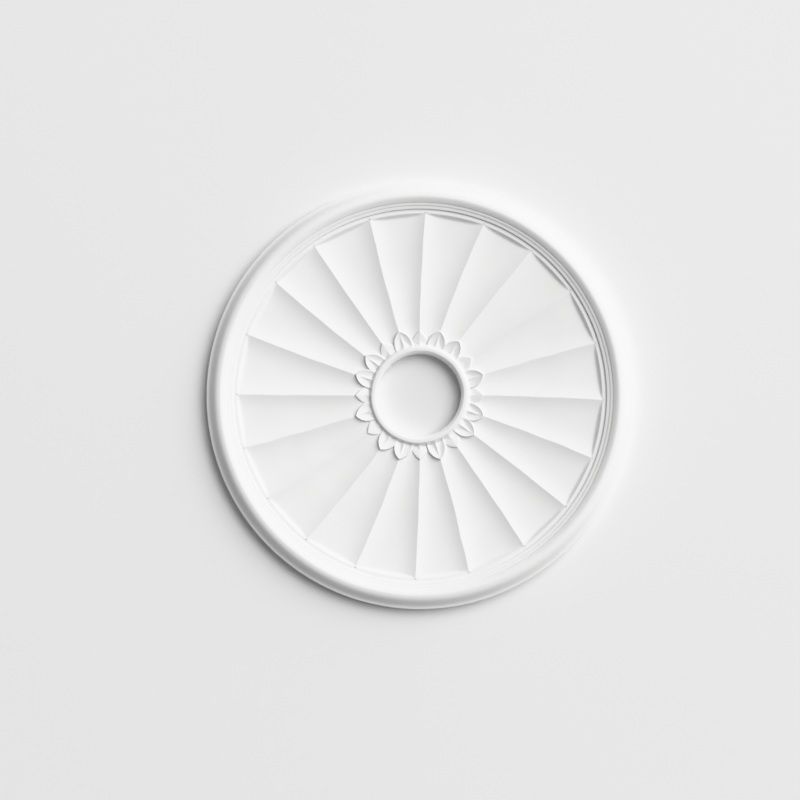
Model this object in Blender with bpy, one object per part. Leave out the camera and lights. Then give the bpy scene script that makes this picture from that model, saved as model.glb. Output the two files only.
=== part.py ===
"""A cast plaster ceiling rose, all one casting.

A round rim moulding (a broad roll and two reeds) frames a fan of scooped flutes, whose sharp
ridges run in to a collar of tall and short leaves around the ring of an open centre hole.

The back lies in the plane y = 0, the face looks along -y and z is up, as the rose is seen from
the front. Heights are measured from the back towards the viewer. Angles turn clockwise from the
top, and every length is in metres.
"""

import math

import bmesh
import bpy
import numpy as np

MM = 0.001

# Rim moulding, from its outer edge inwards
OUTER_RADIUS = 300.0 * MM
EDGE_HEIGHT = 17.2 * MM
ROLL_OUTER_WIDTH = 19.7 * MM
ROLL_OUTER_EASE = 0.105
ROLL_OUTER_LEAN = 1.3
ROLL_HEIGHT = 30.9 * MM
ROLL_INNER_WIDTH = 8.8 * MM
ROLL_FOOT_HEIGHT = 26.7 * MM
OUTER_REED_WIDTH = 4.2 * MM
OUTER_REED_HEIGHT = 26.0 * MM
OUTER_RISER = 0.7 * MM
INNER_REED_WIDTH = 4.7 * MM
INNER_REED_HEIGHT = 23.8 * MM
INNER_RISER = 2.3 * MM
REED_SLOPE_SHARE = 0.6
FILLET_WIDTH = 6.0 * MM

# Fan of flutes between the rim's fillet and the leaves
FLUTE_COUNT = 20
RIDGE_INNER_HEIGHT = 16.3 * MM
FAN_DISH = 3.6 * MM
FLUTE_EDGE_SLOPE_DEG = 19.4
FLUTE_INNER_FULLNESS = 2.0
FLUTE_OUTER_FULLNESS = 3.2
FLUTE_END_SLOPE_DEG = 45.0
FLUTE_END_BOW = 0.4 * MM
RIDGE_SLANT_DEG = 1.7
RIDGE_WANDER_DEG = (
    0.1, 0.8, 0.0, -0.6, -0.3, -0.2, 0.3, -0.4, -0.4, 0.8,
    -0.3, 0.8, 0.5, 0.1, -0.4, -1.4, -0.2, 0.5, -0.9, 0.5,
)

# Collar of leaves, one on each ridge
TALL_LEAVES = (False, True, True, False, True)
TALL_LENGTH = 22.6 * MM
TALL_HALF_WIDTH = 12.4 * MM
TALL_FULLNESS = 3.0
SHORT_LENGTH = 18.8 * MM
SHORT_HALF_WIDTH = 12.0 * MM
SHORT_FULLNESS = 2.0
LEAF_SHOULDER = 0.9
LEAF_WALL_WIDTH = 1.5 * MM
TALL_TIP_RISE = 3.6 * MM
SHORT_TIP_RISE = 2.2 * MM
LEAF_TILT_DEG = 10.0
CUP_DEPTH = 1.9 * MM
RIB_RISE = 3.0 * MM
RIB_HALF_SHARE = 0.33
RIB_REACH = 0.82
ROOF_DROP = 1.7 * MM

# Ring around the centre hole
BORE_RADIUS = 58.3 * MM
BORE_EDGE_HEIGHT = 16.8 * MM
CHAMFER_WIDTH = 2.9 * MM
RING_SHOULDER_HEIGHT = 19.3 * MM
RING_ROUND_WIDTH = 1.3 * MM
RING_TOP_WIDTH = 4.4 * MM
RING_HEIGHT = 20.2 * MM
RING_WALL_WIDTH = 3.2 * MM

# Fineness of the faceted solid
ROLL_OUTER_STEPS = 6
ROLL_INNER_STEPS = 3
REED_STEPS = 3
FLUTE_STEPS = 6
FAN_ROWS = 4
VALLEY_ROWS = (0.0, 0.4, 0.75, 1.0)
TIP_ROWS = (0.45, 0.8, 1.0)
LEAF_STEPS = 3
RING_SKIP = 4
VALLEY_SAMPLES = 400
SMALL = 0.005 * MM

SHARP_ANGLE = math.radians(25.0)
PLASTER_COLOUR = (0.86, 0.86, 0.85, 1.0)
PLASTER_ROUGHNESS = 0.6

# Radii where one stretch of the section meets the next
ROLL_RADIUS = OUTER_RADIUS - ROLL_OUTER_WIDTH
ROLL_FOOT_RADIUS = ROLL_RADIUS - ROLL_INNER_WIDTH
INNER_REED_RADIUS = ROLL_FOOT_RADIUS - OUTER_REED_WIDTH
FILLET_OUTER_RADIUS = INNER_REED_RADIUS - INNER_REED_WIDTH
FLUTE_END_RADIUS = FILLET_OUTER_RADIUS - FILLET_WIDTH
FILLET_HEIGHT = RIDGE_INNER_HEIGHT + FAN_DISH
RING_TOP_INNER_RADIUS = BORE_RADIUS + CHAMFER_WIDTH + RING_ROUND_WIDTH
RING_TOP_OUTER_RADIUS = RING_TOP_INNER_RADIUS + RING_TOP_WIDTH
RING_FOOT_RADIUS = RING_TOP_OUTER_RADIUS + RING_ROUND_WIDTH + RING_WALL_WIDTH
TALL_TIP_RADIUS = RING_FOOT_RADIUS + TALL_LENGTH

PITCH = 2.0 * math.pi / FLUTE_COUNT
TALL = np.array([TALL_LEAVES[k % len(TALL_LEAVES)] for k in range(FLUTE_COUNT)], dtype=float)
LEAF_LENGTH = np.where(TALL > 0.5, TALL_LENGTH, SHORT_LENGTH)

# Each column's sector, and its share of the way across the flute after that sector's leaf
SECTOR_COLUMNS = 2 * LEAF_STEPS + FLUTE_STEPS + 2
SECTOR = np.repeat(np.arange(FLUTE_COUNT), SECTOR_COLUMNS)
ACROSS_FLUTE = np.tile(
    np.maximum(np.arange(SECTOR_COLUMNS) - 2 * LEAF_STEPS - 2, 0) / FLUTE_STEPS, FLUTE_COUNT
)


def way_out(radius):
    """The share of the way from the tall leaves' tips to the ridges' outer ends."""
    return np.clip((radius - TALL_TIP_RADIUS) / (FLUTE_END_RADIUS - TALL_TIP_RADIUS), 0.0, 1.0)


def ridge_height(radius):
    """The ridges' height: level at the leaves, rising as the square of the way out."""
    return RIDGE_INNER_HEIGHT + FAN_DISH * way_out(radius) ** 2


def ridge_angle(sector, radius):
    """The angle of a sector's ridge: even at the leaves, slanting off evenly to its outer end."""
    wander = np.array([RIDGE_WANDER_DEG[k % len(RIDGE_WANDER_DEG)] for k in range(FLUTE_COUNT)])
    lean = np.radians(RIDGE_SLANT_DEG + wander)[sector % FLUTE_COUNT]
    return sector * PITCH + lean * way_out(radius)


def leaf_half_width(radius, sector, margin):
    """Half the width of a leaf's outline, grown by a margin, at a radius: a full ogive.

    The width stays near its base value and closes on the tip as (1 - u^fullness)^shoulder,
    where u runs from 0 at the ring to 1 at the tip.
    """
    tall = TALL[sector % FLUTE_COUNT] > 0.5
    half_width = np.where(tall, TALL_HALF_WIDTH, SHORT_HALF_WIDTH) + margin
    length = LEAF_LENGTH[sector % FLUTE_COUNT] + margin
    fullness = np.where(tall, TALL_FULLNESS, SHORT_FULLNESS)
    share = np.clip((radius - RING_FOOT_RADIUS) / length, 0.0, 1.0)
    return half_width * (1.0 - share**fullness) ** LEAF_SHOULDER


def flute_depth(radius, half_chord, across):
    """How far a flute's floor lies below its ridges.

    One less the share across to the power of the fullness, which grows on the way out, so that
    the floor leaves the ridges at one slope but is flatter in the middle near the rim.
    """
    growth = (FLUTE_OUTER_FULLNESS - FLUTE_INNER_FULLNESS) * way_out(radius) ** 2
    fullness = FLUTE_INNER_FULLNESS + growth
    deepest = math.tan(math.radians(FLUTE_EDGE_SLOPE_DEG)) * half_chord / fullness
    return deepest * (1.0 - np.abs(across) ** fullness)


def wall_top(across):
    """The radius where a flute's end wall comes up to the fillet, bowed in between the ridges."""
    return FLUTE_END_RADIUS - FLUTE_END_BOW * (1.0 - across**2)


def ground_height(radius, angle, sector):
    """The flutes' surface: scoops between the ridges, closed by a sloped end wall."""
    nearer = np.where(angle < ridge_angle(sector, radius), sector - 1, sector)
    left = ridge_angle(nearer, radius)
    right = ridge_angle(nearer + 1, radius)
    across = np.clip(2.0 * (angle - left) / (right - left) - 1.0, -1.0, 1.0)
    half_chord = radius * np.sin(0.5 * (right - left))
    end_slope = math.tan(math.radians(FLUTE_END_SLOPE_DEG))
    below_wall_top = end_slope * np.maximum(wall_top(across) - radius, 0.0)
    return ridge_height(radius) - np.minimum(flute_depth(radius, half_chord, across), below_wall_top)


def leaf_height(radius, angle, sector, ground):
    """A leaf's surface over its outline, falling through its wall to the ground outside it.

    A tall leaf is cupped, with a midrib that fades towards the tip. A short one is a plain roof.
    """
    tall = TALL[sector % FLUTE_COUNT] > 0.5
    length = LEAF_LENGTH[sector % FLUTE_COUNT]
    offset = np.abs(radius * np.sin(angle - ridge_angle(sector, radius)))
    edge = leaf_half_width(radius, sector, 0.0)
    foot = leaf_half_width(radius, sector, LEAF_WALL_WIDTH)
    share = np.clip((radius - RING_FOOT_RADIUS) / length, 0.0, 1.0)
    across = np.clip(offset / np.maximum(edge, SMALL), 0.0, 1.0)
    tip = RIDGE_INNER_HEIGHT + np.where(tall, TALL_TIP_RISE, SHORT_TIP_RISE)
    plane = tip - (1.0 - share) * length * math.tan(math.radians(LEAF_TILT_DEG))
    cup = CUP_DEPTH * (1.0 - across**2) * (1.0 - share**3)
    rib_section = np.clip(1.0 - across / RIB_HALF_SHARE, 0.0, 1.0)
    rib = RIB_RISE * rib_section * np.clip(1.0 - share / RIB_REACH, 0.0, 1.0)
    top = plane + np.where(tall, rib - cup, -ROOF_DROP * across * (1.0 - share))
    down_side = (offset - edge) / np.maximum(foot - edge, SMALL)
    down_tip = (radius - RING_FOOT_RADIUS - length) / LEAF_WALL_WIDTH
    down = np.clip(np.maximum(down_side, down_tip), 0.0, 1.0)
    return np.where(down < 1.0, top * (1.0 - down) + ground * down, ground)


def face_height(radius, angle, sector):
    """The height of the face between the ring and the rim: the highest of ground and leaves."""
    ground = ground_height(radius, angle, sector)
    height = ground
    for neighbour in (sector - 1, sector, sector + 1):
        height = np.maximum(height, leaf_height(radius, angle, neighbour, ground))
    return height


def sector_limits(radii, foot):
    """How far each leaf may reach on either side, given its foot's half angle in a row.

    Two leaves of a kind meet half way, and a short one runs under a tall one as far as its foot.
    """
    limits = []
    for step in (-1, 1):
        neighbour = np.roll(TALL, -step)
        tall_foot = leaf_half_width(radii, int(np.argmax(TALL)), LEAF_WALL_WIDTH) / radii
        beside = np.where(TALL > neighbour, foot, PITCH - tall_foot)
        limits.append(np.where(TALL == neighbour, 0.5 * PITCH, beside))
    return limits


def valley_reach():
    """How far up from the ring the feet of two neighbouring leaves still touch."""
    tall = int(np.argmax(TALL))
    short = int(np.argmin(TALL))
    reach = np.linspace(0.0, SHORT_LENGTH, VALLEY_SAMPLES)
    radius = RING_FOOT_RADIUS + reach
    tall_foot = leaf_half_width(radius, tall, LEAF_WALL_WIDTH) / radius
    short_foot = leaf_half_width(radius, short, LEAF_WALL_WIDTH) / radius
    touching = tall_foot + np.maximum(tall_foot, short_foot) >= PITCH
    return float(np.max(reach[touching], initial=0.0))


def leaf_row_radii():
    """Each leaf's radius in every row on the leaves.

    The rows stay level all round while neighbouring leaves touch, and from there each leaf's own
    rows close up on its tip.
    """
    valley = valley_reach()
    level = [np.full(FLUTE_COUNT, RING_FOOT_RADIUS + share * valley) for share in VALLEY_ROWS]
    closing = [RING_FOOT_RADIUS + valley + share * (LEAF_LENGTH - valley) for share in TIP_ROWS]
    return level + closing


def leaf_angles(radii):
    """The angles of every leaf's columns in one row, from its left foot to its right foot."""
    sectors = np.arange(FLUTE_COUNT)
    edge = leaf_half_width(radii, sectors, 0.0) / radii
    foot = leaf_half_width(radii, sectors, LEAF_WALL_WIDTH) / radii
    before, after = sector_limits(radii, foot)
    left = np.outer(np.minimum(edge, before), np.linspace(-1.0, 0.0, LEAF_STEPS + 1))
    right = np.outer(np.minimum(edge, after), np.linspace(0.0, 1.0, LEAF_STEPS + 1)[1:])
    left_foot = -np.minimum(foot, before)
    right_foot = np.minimum(foot, after)
    ridges = ridge_angle(sectors, radii)
    return ridges[:, None] + np.column_stack((left_foot, left, right, right_foot))


def leaf_row(radii):
    """A row's radii and angles where it crosses the leaves, given the radius on each leaf."""
    leaves = leaf_angles(radii)
    start = leaves[:, -1:]
    end = np.roll(leaves[:, :1], -1, axis=0)
    end[-1] += 2.0 * math.pi
    shares = np.arange(1, FLUTE_STEPS) / FLUTE_STEPS
    angles = np.hstack((leaves, start + (end - start) * shares))
    to_next = np.roll(radii, -1) - radii
    row_radii = radii[:, None] + np.outer(to_next, ACROSS_FLUTE[: angles.shape[1]])
    return row_radii.ravel(), angles.ravel()


def flute_end():
    """The radius where each column runs off its flute's floor and up the sloped end wall."""
    gap = ridge_angle(SECTOR + 1, FLUTE_END_RADIUS) - ridge_angle(SECTOR, FLUTE_END_RADIUS)
    across = 2.0 * ACROSS_FLUTE - 1.0
    depth = flute_depth(FLUTE_END_RADIUS, FLUTE_END_RADIUS * np.sin(0.5 * gap), across)
    return wall_top(across) - depth / math.tan(math.radians(FLUTE_END_SLOPE_DEG))


def fan_row(radii):
    """A row's radii and angles on the fan, where all of a leaf's columns run along its ridge."""
    left = ridge_angle(SECTOR, radii)
    right = ridge_angle(SECTOR + 1, radii)
    return radii, left + (right - left) * ACROSS_FLUTE


def face_rows():
    """The face's rows of radii and angles, from the ring's foot out to the rim's fillet."""
    feet = RING_FOOT_RADIUS + LEAF_LENGTH + LEAF_WALL_WIDTH
    start = feet[SECTOR] + (np.roll(feet, -1) - feet)[SECTOR] * ACROSS_FLUTE
    shares = np.linspace(0.0, 1.0, FAN_ROWS + 1)
    rows = [leaf_row(radii) for radii in leaf_row_radii()]
    rows += [fan_row(start + share * (flute_end() - start)) for share in shares]
    return rows + [fan_row(wall_top(2.0 * ACROSS_FLUTE - 1.0))]


def loop(radii, angles, heights):
    """Points at the given radii, angles and heights, in a closed loop."""
    heights = np.broadcast_to(heights, angles.shape)
    return np.column_stack((radii * np.sin(angles), -heights, radii * np.cos(angles)))


def reed(foot, end):
    """A reed like a rounded stair, from foot to end, its first point left out.

    Its height is part an even slope and part a quarter ellipse that starts out steep.
    """
    share = 1.0 - np.cos(np.linspace(0.0, 0.5 * math.pi, REED_STEPS + 1)[1:])
    quarter = np.sqrt(1.0 - (1.0 - share) ** 2)
    rise = REED_SLOPE_SHARE * share + (1.0 - REED_SLOPE_SHARE) * quarter
    return list(zip(foot[0] + share * (end[0] - foot[0]), foot[1] + rise * (end[1] - foot[1])))


def roll():
    """The roll: an arch of cubic section up from its inner foot, then an ogee down to the edge."""
    share = np.linspace(0.0, 1.0, ROLL_INNER_STEPS + 1)
    arch = 0.5 * (3.0 * share - share**3)
    radii = ROLL_FOOT_RADIUS + share * ROLL_INNER_WIDTH
    section = list(zip(radii, ROLL_FOOT_HEIGHT + (ROLL_HEIGHT - ROLL_FOOT_HEIGHT) * arch))
    share = np.linspace(0.0, 1.0, ROLL_OUTER_STEPS + 1)[1:]
    leaning = share**ROLL_OUTER_LEAN
    ogee = leaning - ROLL_OUTER_EASE * np.sin(2.0 * math.pi * leaning)
    radii = ROLL_RADIUS + share * ROLL_OUTER_WIDTH
    return section + list(zip(radii, ROLL_HEIGHT - (ROLL_HEIGHT - EDGE_HEIGHT) * ogee))


def rim_section():
    """The rim's section from the fillet's outer corner out and down to the back."""
    inner_start = (FILLET_OUTER_RADIUS, FILLET_HEIGHT + INNER_RISER)
    outer_start = (INNER_REED_RADIUS, INNER_REED_HEIGHT + OUTER_RISER)
    section = [(FILLET_OUTER_RADIUS, FILLET_HEIGHT), inner_start]
    section += reed(inner_start, (INNER_REED_RADIUS, INNER_REED_HEIGHT))
    section += [outer_start] + reed(outer_start, (ROLL_FOOT_RADIUS, OUTER_REED_HEIGHT))
    return section + roll() + [(OUTER_RADIUS, 0.0)]


def ring_section():
    """The ring's section from the bore's back edge up the bore, over the top and down outside."""
    return [
        (BORE_RADIUS, 0.0),
        (BORE_RADIUS, BORE_EDGE_HEIGHT),
        (BORE_RADIUS + CHAMFER_WIDTH, RING_SHOULDER_HEIGHT),
        (RING_TOP_INNER_RADIUS, RING_HEIGHT),
        (RING_TOP_OUTER_RADIUS, RING_HEIGHT),
        (RING_TOP_OUTER_RADIUS + RING_ROUND_WIDTH, RING_SHOULDER_HEIGHT),
    ]


def casting_loops():
    """Every loop of the casting in order: up the bore, over the ring, across the face and the rim.

    The ring's loops take only every few columns' angles, each repeated, so that they have fewer
    sides once the repeated points are merged.
    """
    rows = face_rows()
    face = [loop(radii, angles, face_height(radii, angles, SECTOR)) for radii, angles in rows]
    columns = np.arange(len(SECTOR))
    kept = (columns // RING_SKIP) * RING_SKIP + RING_SKIP // 2
    ring_angles = rows[0][1][kept]
    ring = [loop(radius, ring_angles, height) for radius, height in ring_section()]
    rim_angles = rows[-1][1]
    rim = [loop(radius, rim_angles, height) for radius, height in rim_section()]
    return ring + face + rim


def build_casting():
    """The whole rose as one closed mesh: neighbouring loops are joined, the last to the first."""
    mesh = bpy.data.meshes.new("ceiling_rose")
    shell = bmesh.new()
    rows = [[shell.verts.new(point) for point in points] for points in casting_loops()]
    for here, there in zip(rows, rows[1:] + rows[:1]):
        for index in range(len(here)):
            after = (index + 1) % len(here)
            shell.faces.new((here[index], there[index], there[after], here[after]))
    bmesh.ops.remove_doubles(shell, verts=shell.verts, dist=SMALL)
    bmesh.ops.triangulate(shell, faces=shell.faces, quad_method="SHORT_EDGE")
    bmesh.ops.recalc_face_normals(shell, faces=shell.faces)
    shell.to_mesh(mesh)
    shell.free()
    mesh.shade_smooth()
    mesh.set_sharp_from_angle(angle=SHARP_ANGLE)
    return mesh


def plaster():
    """Matt white plaster."""
    material = bpy.data.materials.new("white_plaster")
    material.use_nodes = True
    shader = material.node_tree.nodes["Principled BSDF"]
    shader.inputs["Base Color"].default_value = PLASTER_COLOUR
    shader.inputs["Roughness"].default_value = PLASTER_ROUGHNESS
    shader.inputs["Metallic"].default_value = 0.0
    return material


def main():
    """Clear the scene and build the rose at the world's origin."""
    for existing in list(bpy.data.objects):
        bpy.data.objects.remove(existing, do_unlink=True)
    mesh = build_casting()
    mesh.materials.append(plaster())
    bpy.context.scene.collection.objects.link(bpy.data.objects.new("ceiling_rose", mesh))


main()
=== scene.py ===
"""A cast plaster ceiling rose, carved, painted and lit as it hangs in a pale room.

The rose is one closed surface: loops of points are joined from the bore's back edge up over the
ring, across the leaves and flutes, over the rim and back behind. Heights are measured from the
back, in the plane y = 0, towards the viewer at -y. Angles turn clockwise from the top, as the
viewer sees them. Every length is in metres.
"""

import logging
import math
from collections.abc import Callable
from dataclasses import dataclass, field
from enum import Enum

import bmesh
import bpy
import numpy as np
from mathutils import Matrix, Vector


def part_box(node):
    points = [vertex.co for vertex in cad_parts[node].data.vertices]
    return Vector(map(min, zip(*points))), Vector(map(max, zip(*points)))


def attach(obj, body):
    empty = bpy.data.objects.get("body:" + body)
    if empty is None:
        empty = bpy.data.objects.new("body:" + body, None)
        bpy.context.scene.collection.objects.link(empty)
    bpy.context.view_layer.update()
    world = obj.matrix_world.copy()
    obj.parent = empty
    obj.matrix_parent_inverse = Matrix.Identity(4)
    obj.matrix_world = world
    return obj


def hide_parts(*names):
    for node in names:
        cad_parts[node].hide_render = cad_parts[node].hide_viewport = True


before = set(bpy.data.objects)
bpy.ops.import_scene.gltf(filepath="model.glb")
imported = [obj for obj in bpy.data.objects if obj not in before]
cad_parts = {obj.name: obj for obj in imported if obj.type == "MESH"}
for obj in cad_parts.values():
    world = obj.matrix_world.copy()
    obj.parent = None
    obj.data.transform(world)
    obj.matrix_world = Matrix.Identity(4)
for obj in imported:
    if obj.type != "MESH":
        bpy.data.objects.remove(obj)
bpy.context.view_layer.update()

MM = 0.001
TINY = 1e-6
PROFILE_STEP = 0.1 * MM
NODE = "ceiling_rose"
BODY = "root"

Pair = tuple[float, float]
Array = np.ndarray
Socket = bpy.types.NodeSocket

logging.basicConfig(level=logging.INFO, format="%(name)s: %(message)s")
log = logging.getLogger("ceiling rose")


def smooth_max(first: Array, second: Array, blend: Array) -> Array:
    """The higher of two surfaces with the crease between them rounded over.

    Half the sum plus half the root of the squared gap and the squared blend.

    Args:
        first: Heights of one surface.
        second: Heights of the other.
        blend: Size of the rounding, as a length.

    Returns:
        The rounded upper surface.
    """
    gap = first - second
    return 0.5 * (first + second + np.sqrt(gap**2 + blend**2))


def eased(share: Array, ease: float) -> Array:
    """A share from 0 to 1 that starts and ends gently: itself less a full sine wave of it.

    Args:
        share: Values from 0 to 1.
        ease: How far the ends are softened, from 0 to 0.159.

    Returns:
        Values from 0 to 1 with softer ends.
    """
    return share - ease * np.sin(2.0 * math.pi * share)


def tent(share: Array) -> Array:
    """One at 0, falling evenly to nothing at 1 and beyond."""
    return np.clip(1.0 - share, 0.0, 1.0)


def placed(name: str, data: bpy.types.ID) -> bpy.types.Object:
    """A new object that shows this data, put in the scene."""
    thing = bpy.data.objects.new(name, data)
    bpy.context.scene.collection.objects.link(thing)
    return thing


@dataclass(frozen=True)
class Section:
    """A run of a profile: radii and heights from one end to the other."""

    radii: Array
    heights: Array

    def then(self, other: "Section") -> "Section":
        """This run followed by another that starts where it ends."""
        radii = np.concatenate((self.radii, other.radii[1:]))
        return Section(radii, np.concatenate((self.heights, other.heights[1:])))

    def softened(self, reach: float, step: float) -> "Section":
        """The profile with its corners worn: a Gaussian mean along it, cut at three spreads.

        Past either end the mean is taken over the profile turned about that end, so the ends stay.

        Args:
            reach: The Gaussian's spread along the profile.
            step: Spacing of the points the mean is taken over.

        Returns:
            The worn profile, evenly spaced.
        """
        even = self.resampled(step, 0.0)
        spread = int(math.ceil(3.0 * reach / step))
        weights = np.exp(-0.5 * (np.arange(-spread, spread + 1) * step / reach) ** 2)
        weights /= weights.sum()
        worn = []
        for values in (even.radii, even.heights):
            before = 2.0 * values[0] - values[spread:0:-1]
            after = 2.0 * values[-1] - values[-2 : -spread - 2 : -1]
            worn.append(np.convolve(np.concatenate((before, values, after)), weights, "valid"))
        return Section(*worn)

    def resampled(self, spacing: float, turning: float) -> "Section":
        """The profile with its points shared out by length, and more where it turns.

        Args:
            spacing: Length along the profile between points where it is straight.
            turning: Extra length counted for each radian that it turns through.

        Returns:
            The same profile through new points, its two ends kept.
        """
        along = np.hypot(np.diff(self.radii), np.diff(self.heights))
        heading = np.unwrap(np.arctan2(np.diff(self.heights), np.diff(self.radii)))
        turn = np.abs(np.diff(heading, prepend=heading[0]))
        weight = np.concatenate(([0.0], np.cumsum(along + turning * turn)))
        count = max(int(round(weight[-1] / spacing)), 2)
        places = np.linspace(0.0, weight[-1], count + 1)
        return Section(np.interp(places, weight, self.radii), np.interp(places, weight, self.heights))


def straight(start: Pair, end: Pair) -> Section:
    """A straight run of profile between two points of radius and height."""
    return Section(np.array([start[0], end[0]]), np.array([start[1], end[1]]))


def quarter(low: Pair, crest: Pair, steps: int = 24) -> Section:
    """A quarter ellipse from a low end, where it is steep, up to a crest, where it is level.

    Args:
        low: Radius and height of the low end.
        crest: Radius and height of the crest.
        steps: Number of chords.

    Returns:
        The run from the low end to the crest.
    """
    turns = np.linspace(0.0, 0.5 * math.pi, steps + 1)
    radii = crest[0] + (low[0] - crest[0]) * np.cos(turns)
    return Section(radii, low[1] + (crest[1] - low[1]) * np.sin(turns))


@dataclass(frozen=True)
class RimMoulding:
    """The run moulding round the rose: a broad roll and two reeds stepping down to a fillet."""

    outer_radius: float
    edge_height: float = 17.2 * MM
    edge_round: float = 0.9 * MM
    roll_outer_width: float = 19.7 * MM
    roll_outer_ease: float = 0.105
    roll_outer_lean: float = 1.3
    roll_height: float = 30.9 * MM
    roll_inner_width: float = 8.8 * MM
    roll_foot_height: float = 26.7 * MM
    outer_reed_width: float = 4.2 * MM
    outer_reed_height: float = 26.0 * MM
    outer_riser: float = 0.7 * MM
    inner_reed_width: float = 4.7 * MM
    inner_reed_height: float = 23.8 * MM
    inner_riser: float = 2.5 * MM
    reed_slope_share: float = 0.75
    wear: float = 0.15 * MM
    spacing: float = 1.0 * MM
    turning: float = 0.9 * MM
    roll_steps: int = 40

    @property
    def roll_radius(self) -> float:
        """Where the roll stands highest."""
        return self.outer_radius - self.roll_outer_width

    @property
    def roll_foot_radius(self) -> float:
        """The inner foot of the roll, at the outer edge of the outer reed."""
        return self.roll_radius - self.roll_inner_width

    @property
    def inner_reed_radius(self) -> float:
        """The outer edge of the inner reed, at the foot of the outer one."""
        return self.roll_foot_radius - self.outer_reed_width

    @property
    def fillet_radius(self) -> float:
        """The outer edge of the flat fillet, at the foot of the inner reed."""
        return self.inner_reed_radius - self.inner_reed_width

    def reed(self, foot: Pair, end: Pair) -> Section:
        """A reed like a rounded stair: part an even slope and part a quarter ellipse, steep first.

        Args:
            foot: Radius and height of its inner, lower end.
            end: Radius and height of its outer, upper end.

        Returns:
            The run from foot to end.
        """
        ellipse = quarter(foot, end)
        share = (ellipse.radii - foot[0]) / (end[0] - foot[0])
        slope = foot[1] + share * (end[1] - foot[1])
        mix = self.reed_slope_share
        return Section(ellipse.radii, mix * slope + (1.0 - mix) * ellipse.heights)

    def roll(self) -> Section:
        """The roll: an arch up from its inner foot, and an ogee down to the edge.

        The arch rises by half of three times the share across it less that share cubed. The ogee
        falls by the share out, raised to the lean and eased at both ends.

        Returns:
            The run from the inner foot over the crest to where the edge is rounded.
        """
        share = np.linspace(0.0, 1.0, self.roll_steps + 1)
        arch = 0.5 * (3.0 * share - share**3)
        rise = self.roll_height - self.roll_foot_height
        inner = Section(
            self.roll_foot_radius + share * self.roll_inner_width, self.roll_foot_height + rise * arch
        )
        fall = self.roll_height - self.edge_height
        outer = Section(
            self.roll_radius + share * (self.roll_outer_width - self.edge_round),
            self.roll_height - fall * eased(share**self.roll_outer_lean, self.roll_outer_ease),
        )
        return inner.then(outer)

    def section(self, fillet_height: float) -> Section:
        """The rim's profile from the fillet's outer edge out and down to the back.

        Args:
            fillet_height: Height of the flat fillet.

        Returns:
            The worn profile with its points shared out.
        """
        inner_start = (self.fillet_radius, fillet_height + self.inner_riser)
        inner_end = (self.inner_reed_radius, self.inner_reed_height)
        outer_start = (self.inner_reed_radius, self.inner_reed_height + self.outer_riser)
        outer_end = (self.roll_foot_radius, self.outer_reed_height)
        run = straight((self.fillet_radius, fillet_height), inner_start)
        run = run.then(self.reed(inner_start, inner_end)).then(straight(inner_end, outer_start))
        run = run.then(self.reed(outer_start, outer_end))
        run = run.then(straight(outer_end, (self.roll_foot_radius, self.roll_foot_height)))
        side_top = (self.outer_radius, self.edge_height - self.edge_round)
        turn = quarter(side_top, (self.outer_radius - self.edge_round, self.edge_height))
        run = run.then(self.roll()).then(Section(turn.radii[::-1], turn.heights[::-1]))
        run = run.then(straight(side_top, (self.outer_radius, 0.0)))
        worn = run.softened(self.wear, PROFILE_STEP).resampled(self.spacing, self.turning)
        return Section(np.minimum(worn.radii, self.outer_radius), worn.heights)


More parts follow.
